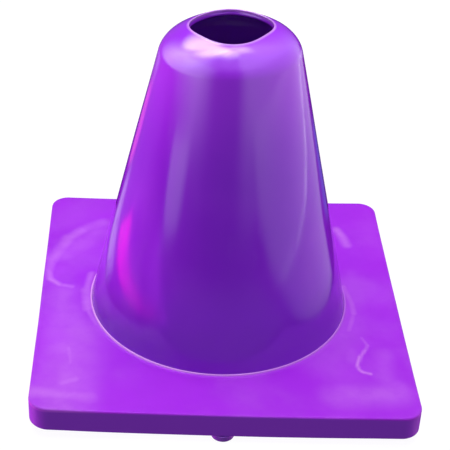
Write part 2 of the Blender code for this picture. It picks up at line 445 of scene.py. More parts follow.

# Pale streaks and patches on the top, partly shallow moulding marks and partly painted sheen: start,
# end, radius in millimetres, strength
STREAKS_AND_SHEEN = (
    ((-57, 60), (-67, 53), 4.2, 0.35),
    ((-67, 53), (-73, 46), 3.6, 0.52),
    ((-73, 46), (-77, 34), 4.0, 0.52),
    ((-77, 34), (-80, 27), 3.6, 0.52),
    ((-80, 27), (-81, 18), 2.6, 0.50),
    ((-81, 18), (-80, 11), 2.0, 0.60),
    ((-80, 11), (-75, 6.5), 1.6, 0.75),
    ((-75, 6.5), (-69, 5), 1.4, 0.65),
    ((-60, 50), (-74, 32), 8.0, 0.30),
    ((-60.5, 16), (-62.2, 2), 1.8, 0.50),
    ((-62.4, 2), (-61, -12), 2.8, 0.60),
    ((-61, -12), (-56.5, -24), 1.4, 0.45),
    ((-66, 76), (-76, 60), 12, 0.12),
    ((-74, -2), (-68, -30), 10, 0.38),
    ((-66, -30), (-68, -78), 14, 0.45),
    ((-67.5, -41), (-66, -52), 1.5, 0.65),
    ((-69, -66), (-63, -63), 3.0, 0.65),
    ((-80, -72), (-58, -75), 5.0, 0.60),
    ((62, 58), (64, 52), 2.4, 0.60),
    ((64, 52), (66, 44), 2.6, 0.55),
    ((60.5, 8), (62.5, -4), 1.8, 0.50),
    ((62.5, -4), (62.8, -13), 1.8, 0.55),
    ((62.8, -13), (59, -26), 1.6, 0.40),
    ((64, -31.3), (66.2, -37), 1.0, 0.40),
    ((66.2, -37), (64.6, -40.5), 1.0, 0.50),
    ((64.6, -40.5), (61.8, -45.3), 0.9, 0.75),
    ((61.8, -45.3), (59.8, -50.6), 0.9, 1.00),
    ((59.8, -50.6), (60.2, -54), 0.9, 1.10),
    ((60.2, -54), (61.6, -55.8), 0.9, 1.10),
    ((61.6, -55.8), (65, -57), 0.9, 0.95),
    ((56, -30), (58, -48), 5.0, 0.25),
    ((50, -72), (74, -70), 9.0, 0.38),
    ((70, -66), (72, -44), 6.0, 0.25),
)
STREAK_DEPTH = 0.06 * MM
STREAK_SOFTNESS = 1.6

# The bead round the cone's foot: how pale its painted highlight makes it all round, and more to the left
# and the front
SEAM_HIGHLIGHT = 0.6
SEAM_HIGHLIGHT_LEFT = 0.35
SEAM_HIGHLIGHT_FRONT = 0.25
SEAM_REACH = 3 * COLLAR_BEAD_RADIUS

# Where the slab's section turns
BEAD_MIDDLE = BASE_TOP + COLLAR_RISE
SEAT_RADIUS = side_radius(BEAD_MIDDLE) + COLLAR_BEAD_GAP
COLLAR_START = SEAT_RADIUS + 2 * COLLAR_BEAD_RADIUS
REBATE_RADIUS = FLANGE_RADIUS + SEAM_GAP
REBATE_CEILING = FLANGE_TOP + SEAM_GAP


def streak_and_sheen_strength(x, y):
    """How strongly the streaks mark the top at a place, from 0 to about 1: how deep their moulding marks
    sink, and how pale they are with their painted sheen.
    """
    total = 0
    here = Vector((x, y)) / MM
    for start, end, radius, strength in STREAKS_AND_SHEEN:
        a = Vector(start)
        along = Vector(end) - a
        t = min(max((here - a).dot(along) / along.length_squared, 0), 1)
        distance = (here - a - along * t).length
        total = max(total, strength * (1 - ease(distance / (radius * STREAK_SOFTNESS))))
    return total


def slab_columns():
    """(point, outward direction) of the slab's rounded square, round all its columns."""
    columns = []
    reach = HALF_SIDE - CORNER_RADIUS
    for corner in range(4):
        turn = Matrix.Rotation(corner * math.pi / 2, 2)
        for step in range(SLAB_CORNER_STEPS + 1):
            angle = math.pi / 2 * step / SLAB_CORNER_STEPS
            out = Vector((math.cos(angle), math.sin(angle)))
            columns.append((turn @ (Vector((reach, reach)) + out * CORNER_RADIUS), turn @ out))
        out = Vector((0, 1))
        for step in range(1, SLAB_SIDE_STEPS):
            x = reach - 2 * reach * step / SLAB_SIDE_STEPS
            columns.append((turn @ Vector((x, HALF_SIDE)), turn @ out))
    return columns


SLAB_COLUMNS = slab_columns()


def circle(radius, z):
    """A round ring of the slab."""
    return [(p.normalized() * radius).to_3d() + Vector((0, 0, z)) for p, _ in SLAB_COLUMNS]


def inset(depth, z):
    """A rounded square ring of the slab, that depth in from its outline."""
    return [(p - out * depth).to_3d() + Vector((0, 0, z)) for p, out in SLAB_COLUMNS]


def between(radius, z, share):
    """A ring at a share of the way from a circle out to where the edge's rounding starts."""
    return [
        (p.normalized() * radius).lerp(p - out * EDGE_ROUNDING, share).to_3d() + Vector((0, 0, z))
        for p, out in SLAB_COLUMNS
    ]


def seat_rings():
    """Up the seat, which stands clear of the cone's side by the seam's gap."""
    gap = SEAM_GAP / math.cos(TAPER_ANGLE)
    seat = BEAD_MIDDLE - COLLAR_BEAD_RADIUS - REBATE_CEILING
    heights = [REBATE_CEILING + seat * row / SEAT_ROWS for row in range(SEAT_ROWS + 1)]
    return [circle(side_radius(z) + gap, z) for z in heights]


def collar_rings():
    """Over the bead against the cone, and down the collar to the slab's top."""
    rings = [circle(SEAT_RADIUS, BEAD_MIDDLE)]
    for row in range(1, BEAD_ROWS):
        angle = math.pi * row / BEAD_ROWS
        radius = SEAT_RADIUS + COLLAR_BEAD_RADIUS * (1 - math.cos(angle))
        rings.append(circle(radius, BEAD_MIDDLE + COLLAR_BEAD_RADIUS * math.sin(angle)))
    for row in range(COLLAR_ROWS):
        share = row / COLLAR_ROWS
        rise = (COLLAR_RISE - COLLAR_BEAD_RADIUS / 2) * (1 - share) ** 3
        rings.append(circle(COLLAR_START + COLLAR_WIDTH * share, BASE_TOP + rise))
    return rings


def edge_rings():
    """Round the top edge, down the side and round the bottom edge."""
    turns = [math.pi / 2 * row / ROUNDING_ROWS for row in range(ROUNDING_ROWS + 1)]
    rings = []
    for angle in turns:
        drop = EDGE_ROUNDING * (1 - math.cos(angle))
        rings.append(inset(EDGE_ROUNDING * (1 - math.sin(angle)), BASE_TOP - drop))
    side = UNDERSIDE - BASE_TOP + 2 * EDGE_ROUNDING
    for row in range(1, SLAB_SIDE_ROWS):
        rings.append(inset(0, BASE_TOP - EDGE_ROUNDING + side * row / SLAB_SIDE_ROWS))
    for angle in turns:
        rise = EDGE_ROUNDING * (1 - math.sin(angle))
        rings.append(inset(EDGE_ROUNDING * (1 - math.cos(angle)), UNDERSIDE + rise))
    return rings


def slab_rings():
    """Rings of the slab's section: up the seat, over the collar, out, down, in and up the rebate."""
    top = [between(COLLAR_START + COLLAR_WIDTH, BASE_TOP, row / TOP_ROWS) for row in range(TOP_ROWS)]
    bottom = [between(REBATE_RADIUS, UNDERSIDE, 1 - row / BOTTOM_ROWS) for row in range(1, BOTTOM_ROWS)]
    rebate = [circle(REBATE_RADIUS, UNDERSIDE), circle(REBATE_RADIUS, REBATE_CEILING)]
    return seat_rings() + collar_rings() + top + edge_rings() + bottom + rebate


def corner_shares(point):
    """How far across and along the slab a point is, from -1 to 1."""
    return point.x / HALF_SIDE, point.y / HALF_SIDE


def slab_warp(point):
    """How far the warp moves a point of the slab's rim sideways."""
    across, along = corner_shares(point)
    warp = Vector()
    for (side_x, side_y), shift in CORNERS:
        warp += shift * (1 + side_x * across) * (1 + side_y * along) / 4
    return Vector((warp.x, warp.y, 0))


def slab_shift(point):
    """How the moulded slab departs from flat and straight at a point."""
    across, along = corner_shares(point)
    curl = 0
    for (side_x, side_y), shift in CORNERS:
        if side_x * across > 0 and side_y * along > 0:
            curl = shift.z * (across * along) ** 2
    clear_of_cone = ease((point.xy.length - FLANGE_RADIUS) / (HALF_SIDE - FLANGE_RADIUS))
    rim = max(abs(point.x), abs(point.y))
    near_edge = ease((rim - HALF_SIDE + EDGE_WAVE_REACH) / EDGE_WAVE_REACH)
    place = Vector((point.x, point.y, 0)) / TOP_WAVE_LENGTH
    z = curl + TOP_WAVE * noise.noise(place) * clear_of_cone
    if point.z > SLAB_MIDDLE:
        z -= STREAK_DEPTH * streak_and_sheen_strength(point.x, point.y)
    else:
        z -= RIM_SAG * near_edge
    outwards = Vector((point.x, point.y, 0)).normalized()
    wave = EDGE_WAVE * (noise.noise(point / EDGE_WAVE_LENGTH) - 0.5) * near_edge
    return outwards * wave + slab_warp(point) * clear_of_cone + Vector((0, 0, z))


def seam_highlight_and_polish(point):
    """How strongly a point on the bead round the cone's foot is painted pale as a highlight and rubbed
    smoother.
    """
    from_bead = abs(point.xy.length - CONE_FOOT_RADIUS - COLLAR_BEAD_RADIUS / 2)
    height = (point.z - BASE_TOP) / COLLAR_RISE
    on_bead = ease(1 - from_bead / SEAM_REACH) * ease(2 * height - 1)
    more = (SEAM_HIGHLIGHT_LEFT * point.x + SEAM_HIGHLIGHT_FRONT * point.y) / CONE_FOOT_RADIUS
    return on_bead * (SEAM_HIGHLIGHT - more)


def add_streaks_sheen_and_seam(mesh):
    """Stores how pale each point of the slab's top is, from its moulding marks and painted sheen, and
    where its bead is, which the material paints with a highlight.
    """
    pale = mesh.attributes.new("pale", "FLOAT", "POINT")
    seam = mesh.attributes.new("seam", "FLOAT", "POINT")
    for i, vertex in enumerate(mesh.vertices):
        on_top = vertex.co.z > SLAB_MIDDLE
        pale.data[i].value = streak_and_sheen_strength(vertex.co.x, vertex.co.y) if on_top else 0
        seam.data[i].value = seam_highlight_and_polish(vertex.co)


def socket_solid(place):
    """The blind socket of one foot."""
    radius = FOOT_STEM_RADIUS + SEAM_GAP
    below = UNDERSIDE - OVERRUN
    depth = UNDERSIDE + FOOT_STEM_LENGTH + SOCKET_END_ROOM
    outline = [(0, below), (radius, below), (radius, depth), (0, depth)]
    mesh = turned_solid("socket", outline, STAKE_COLUMNS)
    mesh.transform(Matrix.Translation(place))
    return mesh


def foot_place(name):
    """Where a foot's axis meets the floor: splayed, and carried out with the warped side over it."""
    low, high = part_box(name)
    place = Vector(((low.x + high.x) / 2, (low.y + high.y) / 2, 0))
    outwards = place.normalized()
    return place + outwards * (FOOT_SPLAY + slab_warp(outwards * HALF_SIDE).dot(outwards))


def make_slab():
    """The base slab with the stakes that fill the flange's holes, and a socket for each foot."""
    rings = slab_rings()
    for ring in rings:
        for point in ring:
            point += slab_shift(point)
    slab = add_object("dressed_slab", outward(ring_mesh("dressed_slab", rings)))
    parts = [("UNION", stake_solids("stakes", 0, REBATE_CEILING + OVERRUN))]
    parts += [("DIFFERENCE", socket_solid(foot_place(name))) for name in FEET]
    combined(slab, parts)
    add_streaks_sheen_and_seam(slab.data)
    return slab


# Feet

def foot_mesh(name):
    """A round stub with a rounded rim and a chamfered stem."""
    low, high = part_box(name)
    radius = (high.x - low.x) / 2
    head_top = UNDERSIDE - SEAM_GAP
    corners = [
        (0, low.z, 0),
        (radius, low.z, FOOT_ROUNDING),
        (radius, head_top, FOOT_CHAMFER),
        (FOOT_STEM_RADIUS, head_top, 0),
        (FOOT_STEM_RADIUS, high.z - FOOT_CHAMFER, 0),
        (FOOT_STEM_RADIUS - FOOT_CHAMFER, high.z, 0),
        (0, high.z, 0),
    ]
    return turned_solid(name, rounded(corners), FOOT_COLUMNS)


def make_foot(name):
    """One stub foot in its place."""
    foot = add_object("dressed_" + name, foot_mesh(name))
    foot.data.transform(Matrix.Translation(foot_place(name)))
    return foot


# Materials, with colours as linear red, green and blue

class Nodes:
    """Short ways to add and link the nodes of one material."""

    def __init__(self, name):
        self.material = bpy.data.materials.new(name)
        self.material.use_nodes = True
        self.tree = self.material.node_tree
        self.shader = self.tree.nodes["Principled BSDF"]
        self.place = self.add("ShaderNodeTexCoord").outputs["Object"]

    def add(self, kind, **settings):
        """A new node with those settings."""
        node = self.tree.nodes.new(kind)
        for key, value in settings.items():
            setattr(node, key, value)
        return node

    def link(self, source, target):
        """Links an output to an input."""
        self.tree.links.new(source, target)

    def attribute(self, name):
        """A value that the mesh keeps for each of its points."""
        return self.add("ShaderNodeAttribute", attribute_name=name).outputs["Fac"]

    def height(self):
        """Height over the floor."""
        split = self.add("ShaderNodeSeparateXYZ")
        self.link(self.place, split.inputs["Vector"])
        return split.outputs["Z"]

    def noise(self, scale, detail, stretch=(1, 1, 1), roughness=0.5):
        """Noise of that many cells per metre, from 0 to 1."""
        mapping = self.add("ShaderNodeMapping")
        mapping.inputs["Scale"].default_value = stretch
        self.link(self.place, mapping.inputs["Vector"])
        texture = self.add("ShaderNodeTexNoise")
        texture.inputs["Scale"].default_value = scale
        texture.inputs["Detail"].default_value = detail
        texture.inputs["Roughness"].default_value = roughness
        self.link(mapping.outputs["Vector"], texture.inputs["Vector"])
        return texture.outputs["Fac"]

    def spread(self, value, span, target):
        """The value, with its (low, high) span spread smoothly over the target's."""
        spread = self.add("ShaderNodeMapRange", interpolation_type="SMOOTHSTEP")
        for key, number in zip(("From Min", "From Max", "To Min", "To Max"), span + target):
            spread.inputs[key].default_value = number
        self.link(value, spread.inputs["Value"])
        return spread.outputs["Result"]

    def mix(self, factor, first, second):
        """Two colours mixed by a factor. Each is a colour or another node's output."""
        mix = self.add("ShaderNodeMix", data_type="RGBA")
        self.link(factor, mix.inputs["Factor"])
        for socket, colour in ((mix.inputs[6], first), (mix.inputs[7], second)):
            if isinstance(colour, tuple):
                socket.default_value = (*colour, 1)
            else:
                self.link(colour, socket)
        return mix.outputs[2]

    def combine(self, operation, first, second):
        """Two values combined. The second is a number or another node's output."""
        node = self.add("ShaderNodeMath", operation=operation)
        self.link(first, node.inputs[0])
        if isinstance(second, (int, float)):
            node.inputs[1].default_value = second
        else:
            self.link(second, node.inputs[1])
        return node.outputs[0]

    def bump(self, height, distance, strength, under=None):
        """The surface's direction, bent by a height, over another such bend if there is one."""
        bump = self.add("ShaderNodeBump")
        bump.inputs["Distance"].default_value = distance
        bump.inputs["Strength"].default_value = strength
        self.link(height, bump.inputs["Height"])
        if under:
            self.link(under, bump.inputs["Normal"])
        return bump.outputs["Normal"]


VIOLET = (0.222, 0.017, 0.622)
DEEP_VIOLET = (0.207, 0.015, 0.600)
# Painted shade: the cone's side is coloured darker towards its foot, by the slab
SHADED_CONE_FOOT_VIOLET = (0.192, 0.018, 0.500)
# Painted light: the cap is coloured brighter, as if more light fell on it
LIT_CAP_VIOLET = (0.305, 0.022, 0.740)
BASE_VIOLET = (0.300, 0.016, 0.600)
BASE_DEEP_VIOLET = (0.278, 0.014, 0.575)
# Pale streaks: partly moulding marks and partly painted sheen
STREAK_AND_SHEEN_VIOLET = (0.480, 0.160, 0.640)
# Painted shade: the slab's sides and underside are coloured darker and greyer than its top
SHADED_SIDE_VIOLET = (0.220, 0.034, 0.520)
# Painted shade: the feet's colour darkened for the shadow they stand in under the slab
SHADED_STUB_VIOLET = (0.120, 0.012, 0.330)
# Painted highlight: a pale line on the bead round the cone's foot
SEAM_HIGHLIGHT_VIOLET = (0.740, 0.360, 0.800)
# Painted highlight: a pale line on the bead round the mouth
LIP_HIGHLIGHT_VIOLET = (0.520, 0.190, 0.780)

# Painted light on the cap starts at this height and is full at the top
CAP_COLOUR_START = 95 * MM
# Painted shade at the cone's foot fades out up to this height
FOOT_COLOUR_END = 45 * MM

# Noises: cells per metre, detail, and for some a stretch and a roughness
GLOSS_DRIFT = (28, 3)
SCUFFS = (260, 6, (1, 1, 0.25), 0.7)
POLISH = (45, 2)
ORANGE_PEEL = (420, 2)
SATIN_DRIFT = (34, 4)
STREAK_BREAKUP = (120, 4, (1, 1, 1), 0.55)
PAINTED_SHEEN = (26, 4)
SHEEN = (60, 4)
SWELL = (120, 2)
GRAIN = (1600, 3)
FOOT_DRIFT = (90, 4)
FOOT_WEAR = (300, 4)

# Spans of noise that a material uses, from the lowest to the highest value that shows
WHOLE = (0, 1)
MIDDLE_SPAN = (0.35, 0.65)
WIDE_SPAN = (0.3, 0.7)
SCUFF_SPAN = (0.52, 0.78)
PAINTED_SHEEN_SPAN = (0.45, 0.75)

# Finishes: ranges of roughness and what marks add, and bumps as depth and strength
GLOSS_ROUGHNESS = (0.09, 0.13)
SCUFF_ROUGHNESS = 0.10
GLOSS_IOR = 1.5
PEEL_BUMP = (0.02 * MM, 0.15)
SATIN_ROUGHNESS = (0.34, 0.46)
SEAM_POLISH = 0.2
SATIN_SPECULAR = 0.08
STREAK_PATCHINESS = (0.65, 1.0)
PAINTED_SHEEN_RANGE = (0, 0.20)
GRAIN_BUMP = (0.03 * MM, 0.25)
SWELL_BUMP = (0.10 * MM, 0.35)
FOOT_ROUGHNESS = (0.42, 0.60)
FOOT_BUMP = (0.03 * MM, 0.3)


def gloss_colour(n):
    """A faint drift of violet, with painted shade that darkens it towards the foot, painted light that
    brightens the cap, and a painted highlight that makes the lip pale.
    """
    drift = n.spread(n.noise(*GLOSS_DRIFT), MIDDLE_SPAN, WHOLE)
    height = n.height()
    # Painted light: brighter colour from that height up to the top of the cap
    painted_cap_light = n.spread(height, (CAP_COLOUR_START, FULL_HEIGHT), WHOLE)
    # Painted shade: darker colour from the cone's foot up to the height where it fades out
    painted_foot_shade = n.spread(height, (BASE_TOP, FOOT_COLOUR_END), (1, 0))
    side = n.mix(painted_foot_shade, n.mix(drift, VIOLET, DEEP_VIOLET), SHADED_CONE_FOOT_VIOLET)
    # Painted highlight: the bead round the mouth is coloured pale
    return n.mix(n.attribute("lip"), n.mix(painted_cap_light, side, LIT_CAP_VIOLET), LIP_HIGHLIGHT_VIOLET)


def gloss_vinyl():
    """Hard gloss with scuffs and a trace of orange peel."""
    n = Nodes("gloss_violet_vinyl")
    n.link(gloss_colour(n), n.shader.inputs["Base Color"])
    scuff = n.spread(n.noise(*SCUFFS), SCUFF_SPAN, WHOLE)
    polish = n.spread(n.noise(*POLISH), WIDE_SPAN, GLOSS_ROUGHNESS)
    dulled = n.combine("ADD", polish, n.combine("MULTIPLY", scuff, SCUFF_ROUGHNESS))
    n.link(dulled, n.shader.inputs["Roughness"])
    n.link(n.bump(n.noise(*ORANGE_PEEL), *PEEL_BUMP), n.shader.inputs["Normal"])
    n.shader.inputs["IOR"].default_value = GLOSS_IOR
    return n.material


def satin_colour(n, seam):
    """Mottled violet with pale streaks on top, partly moulding marks and partly painted sheen, pale
    patches of painted sheen, painted shade that makes the sides darker and greyer, and a painted
    highlight on the bead at the seam.
    """
    drift = n.spread(n.noise(*SATIN_DRIFT), MIDDLE_SPAN, WHOLE)
    ground = n.mix(drift, BASE_VIOLET, BASE_DEEP_VIOLET)
    breakup = n.spread(n.noise(*STREAK_BREAKUP), WIDE_SPAN, STREAK_PATCHINESS)
    # Streaks: moulding marks, with painted sheen in their pale colour
    streak_and_sheen = n.combine("MULTIPLY", n.attribute("pale"), breakup)
    # Painted sheen: pale patches over the top that stand for reflected light
    painted_sheen = n.spread(n.noise(*PAINTED_SHEEN), PAINTED_SHEEN_SPAN, PAINTED_SHEEN_RANGE)
    top = n.mix(n.combine("MAXIMUM", streak_and_sheen, painted_sheen), ground, STREAK_AND_SHEEN_VIOLET)
    # Painted shade: below the top edge the slab is coloured darker and greyer
    side = n.spread(n.height(), (BASE_TOP - EDGE_ROUNDING, BASE_TOP), (1, 0))
    # Painted highlight: the bead at the seam is coloured pale
    return n.mix(seam, n.mix(side, top, SHADED_SIDE_VIOLET), SEAM_HIGHLIGHT_VIOLET)


def satin_vinyl():
    """Satin with a fine grain over a slow swell, and the seam's bead rubbed smoother and painted pale as
    a highlight.
    """
    n = Nodes("satin_violet_vinyl")
    seam = n.attribute("seam")
    n.link(satin_colour(n, seam), n.shader.inputs["Base Color"])
    satin = n.spread(n.noise(*SHEEN), WIDE_SPAN, SATIN_ROUGHNESS)
    rubbed = n.combine("SUBTRACT", satin, n.combine("MULTIPLY", seam, SEAM_POLISH))
    n.link(rubbed, n.shader.inputs["Roughness"])
    grain = n.bump(n.noise(*GRAIN), *GRAIN_BUMP)
    n.link(n.bump(n.noise(*SWELL), *SWELL_BUMP, grain), n.shader.inputs["Normal"])
    n.shader.inputs["Specular IOR Level"].default_value = SATIN_SPECULAR
    return n.material


def foot_vinyl():
    """The feet's softer, duller vinyl, unevenly worn, with its colour darkened as painted shade for the
    shadow under the slab.
    """
    n = Nodes("foot_violet_vinyl")
    drift = n.spread(n.noise(*FOOT_DRIFT), MIDDLE_SPAN, WHOLE)
    # Painted shade: the feet are coloured darker
    n.link(n.mix(drift, SHADED_STUB_VIOLET, BASE_DEEP_VIOLET), n.shader.inputs["Base Color"])
    worn = n.spread(n.noise(*FOOT_WEAR), WIDE_SPAN, FOOT_ROUGHNESS)
    n.link(worn, n.shader.inputs["Roughness"])
    n.link(n.bump(n.noise(*GRAIN), *FOOT_BUMP), n.shader.inputs["Normal"])
    return n.material


def dress(obj, material, slot, *nodes):
    """Gives a piece its material, hangs it on the root body and hides the parts it stands for."""
    obj.data.materials.clear()
    obj.data.materials.append(material)
    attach(obj, ROOT)
    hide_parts(*nodes)


# Studio

WHITE = (1, 1, 1)

# Floor, its size in metres, and the room's light
FLOOR_SIZE = 12.0
FLOOR_DIFFUSE = 0.08
FLOOR_GLOW = 0.95
FLOOR_ROUGHNESS = 0.9
UNDER_DIFFUSE = 0.80
UNDER_HEIGHT = 0.1 * MM
ROOM_COLOUR = (0.92, 0.93, 1.0)
ROOM_LEVEL = 0.43

# Soft lights: name, place and direction in metres, side, radiance, colour
SOFTBOXES = (
    ("overhead", (0, 0.10, 1.6), (0, -0.10, -1.6), 1.0, 8.5, WHITE),
    ("left_bounce", (-1.02, 0.18, -0.52), (1.02, -0.18, 0.60), 0.8, 14.4, (1.0, 0.30, 0.70)),
    ("right_bounce", (0.97, 0.17, -0.61), (-0.97, -0.17, 0.69), 0.8, 7.5, (1.0, 0.40, 0.69)),
)

# The light tent, its radius in metres and its foot in degrees over the horizon
TENT_RADIUS = 3.0
TENT_FOOT = -8
TENT_COLUMNS = 96
TENT_ROWS = 49

# The tent's lamps: turn and rise of the middle, degrees out to full light and to none, radiance
TENT_LAMPS = (
    ((-118, 69), 7, 20, 12),
    ((-147, 50), 6, 16, 10),
    ((-15, 79), 6, 17, 7),
    ((-70, 78), 6, 16, 6),
    ((140, 78), 6, 20, 7),
)

CARD_HEIGHT = 2 * MM
CARD_STEPS = 24


class Card(NamedTuple):
    """A reflector just over the floor, between two rails of (x, y) points in metres.

    Its radiance is scaled by the pair in bright, from the rails' start to their end. Each edge fades
    over a share of the card's size: at the first rail, the second rail, the start and the end.
    """
    name: str
    first_rail: tuple
    second_rail: tuple
    radiance: float
    colour: tuple = WHITE
    soft: tuple = (0, 0, 0, 0)
    bright: tuple = (1, 1)


def scaled(rail, factor):
    """A rail moved out from the object, or in, by a factor."""
    return tuple((x * factor, y * factor) for x, y in rail)


# The line on the right at which a nearer card and a farther one meet, with a bright strip over it
MEETING = (
    (0.200, -0.205), (0.226, -0.156), (0.243, -0.141), (0.271, -0.111), (0.287, -0.063),
    (0.303, -0.031), (0.313, 0.005), (0.330, 0.060), (0.341, 0.110), (0.355, 0.155),
    (0.385, 0.200), (0.400, 0.260), (0.430, 0.400), (0.480, 0.550), (0.560, 0.800),
)
STRIP_INSIDE = 0.955
STRIP_OUTSIDE = 1.07

CARDS = (
    Card(
        "left_floor",
        ((-0.294, -0.193), (-0.420, -0.180), (-0.560, -0.190), (-0.820, -0.225)),
        ((-0.330, -0.330), (-0.400, -0.420), (-0.640, -0.670), (-0.930, -0.930)),
        radiance=1.5, soft=(0.10, 0.50, 0.25, 0), bright=(0.8, 1.2),
    ),
    Card(
        "right_floor",
        MEETING,
        (
            (0.750, -1.450), (1.150, -0.950), (1.300, -0.400), (1.300, 0.100), (1.250, 0.450),
            (1.150, 0.800), (1.050, 1.200),
        ),
        radiance=1.45, soft=(0, 0, 0.06, 0.1), bright=(0.6, 1.1),
    ),
    Card(
        "right_strip",
        scaled(MEETING, STRIP_INSIDE),
        scaled(MEETING, STRIP_OUTSIDE),
        radiance=4.2, soft=(0.5, 0.5, 0.1, 0.1), bright=(0.3, 1.3),
    ),
    Card(
        "right_card",
        (
            (0.138, -0.094), (0.117, -0.030), (0.108, 0.015), (0.108, 0.036), (0.130, 0.058),
            (0.168, 0.090), (0.205, 0.195), (0.225, 0.270), (0.250, 0.400), (0.300, 0.600),
        ),
        MEETING,
        radiance=0.62, soft=(0.06, 0, 0.07, 0.1), bright=(0.8, 1.7),
    ),
    Card(
        "front_floor",
        ((-0.140, -0.060), (-0.100, -0.110), (0.000, -0.115), (0.100, -0.110), (0.160, -0.100)),
        ((-0.300, -0.260), (-0.160, -0.380), (0.000, -0.420), (0.160, -0.380), (0.220, -0.200)),
        radiance=0.18, soft=(0.1, 0.4, 0.2, 0.2),
    ),
    Card(
        "far_floor",
        ((-0.100, 0.020), (-0.105, 0.080), (-0.105, 0.140), (-0.100, 0.260), (0.000, 0.320)),
        ((-0.600, -0.100), (-0.900, 0.200), (-0.900, 0.600), (-0.600, 1.000), (0.000, 1.200)),
        radiance=0.17, soft=(0.05, 0.2, 0.2, 0.2),
    ),
    Card(
        "rose_card",
        ((-0.110, 0.150), (-0.115, 0.200), (-0.125, 0.300)),
        ((-0.185, 0.160), (-0.235, 0.215), (-0.290, 0.330)),
        radiance=1.5, colour=(1.0, 0.12, 0.40), soft=(0.2, 0.3, 0.2, 0.2),
    ),
    Card(
        "blue_card",
        ((0.098, 0.090), (0.100, 0.140), (0.115, 0.230)),
        ((0.150, 0.080), (0.185, 0.150), (0.215, 0.240)),
        radiance=0.45, colour=(0.0, 0.35, 1.0), soft=(0.2, 0.4, 0.2, 0.2),
    ),
    Card(
        "left_card",
        (
            (-0.100, 0.015), (-0.100, 0.050), (-0.096, 0.080), (-0.102, 0.108), (-0.124, 0.140),
            (-0.150, 0.180),
        ),
        (
            (-0.134, 0.018), (-0.140, 0.052), (-0.148, 0.084), (-0.162, 0.112), (-0.182, 0.146),
            (-0.205, 0.190),
        ),
        radiance=0.85, soft=(0.15, 0.3, 0.2, 0.3), bright=(1.0, 0.8),
    ),
    Card(
        "left_far_card",
        ((-0.190, 0.270), (-0.200, 0.360), (-0.210, 0.480)),
        ((-0.320, 0.290), (-0.360, 0.380), (-0.400, 0.500)),
        radiance=0.5, colour=(0.85, 0.85, 1.0), soft=(0.1, 0.3, 0.3, 0.1),
    ),
    Card(
        "magenta_card",
        (
            (-0.156, 0.090), (-0.147, 0.060), (-0.143, 0.020), (-0.144, -0.030), (-0.136, -0.080),
            (-0.132, -0.140),
        ),
        (
            (-0.262, 0.074), (-0.240, 0.040), (-0.200, 0.000), (-0.188, -0.030), (-0.178, -0.080),
            (-0.170, -0.145),
        ),
        radiance=5.0, colour=(1.0, 0.0, 0.30), soft=(0.15, 0.35, 0.1, 0.15), bright=(1.2, 0.42),
    ),
    Card(
        "violet_card",
        ((-0.115, -0.155), (-0.150, -0.152), (-0.240, -0.162), (-0.380, -0.175)),
        ((-0.120, -0.090), (-0.155, -0.070), (-0.235, -0.040), (-0.360, -0.020)),
        radiance=2.6, colour=(0.62, 0.06, 1.0), soft=(0.08, 0.9, 0.2, 0.2),
    ),
)


def level_square(name, half, height):
    """A level square mesh, centred on the Z axis."""
    corners = [(-half, -half), (half, -half), (half, half), (-half, half)]
    return new_mesh(name, [(x, y, height) for x, y in corners], [(0, 1, 2, 3)])


def floor_material(name, diffuse, glow):
    """A grey matt surface with a white glow."""
    material = bpy.data.materials.new(name)
    material.use_nodes = True
    shader = material.node_tree.nodes["Principled BSDF"]
    shader.inputs["Base Color"].default_value = (diffuse, diffuse, diffuse, 1)
    shader.inputs["Roughness"].default_value = FLOOR_ROUGHNESS
    shader.inputs["Specular IOR Level"].default_value = 0
    shader.inputs["Emission Color"].default_value = (*WHITE, 1)
    shader.inputs["Emission Strength"].default_value = glow
    return material


def make_floor():
    """A pale floor, and the part of it under the slab, which stays in the dark."""
    floor = add_object("floor", level_square("floor", FLOOR_SIZE / 2, 0))
    floor.data.materials.append(floor_material("pale_floor", FLOOR_DIFFUSE, FLOOR_GLOW))
    floor.visible_diffuse = False
    floor.visible_glossy = False
    floor.visible_shadow = False
    shaded = level_square("floor_under", HALF_SIDE - CORNER_RADIUS, UNDER_HEIGHT)
    under = add_object("floor_under", shaded)
    under.data.materials.append(floor_material("shaded_floor", UNDER_DIFFUSE, 0))


def make_room():
    """A dim grey room round the object that looks white to the camera and doesn't show in gloss."""
    world = bpy.data.worlds.new("room")
    bpy.context.scene.world = world
    world.cycles_visibility.glossy = False
    world.use_nodes = True
    tree = world.node_tree
    background = tree.nodes["Background"]
    rays = tree.nodes.new("ShaderNodeLightPath")
    colour = tree.nodes.new("ShaderNodeMix")
    colour.data_type = "RGBA"
    colour.inputs[6].default_value = (*[ROOM_LEVEL * part for part in ROOM_COLOUR], 1)
    colour.inputs[7].default_value = (*WHITE, 1)
    tree.links.new(rays.outputs["Is Camera Ray"], colour.inputs["Factor"])
    tree.links.new(colour.outputs[2], background.inputs["Color"])


def along_rail(rail, share):
    """The point at a share of a rail's segments."""
    place = share * (len(rail) - 1)
    first = min(int(place), len(rail) - 2)
    return Vector(rail[first]).lerp(Vector(rail[first + 1]), place - first)


def faded(share, low, high):
    """Smooth fade at both ends of a card, over the shares low and high of it."""
    return (ease(share / low) if low else 1) * (ease((1 - share) / high) if high else 1)


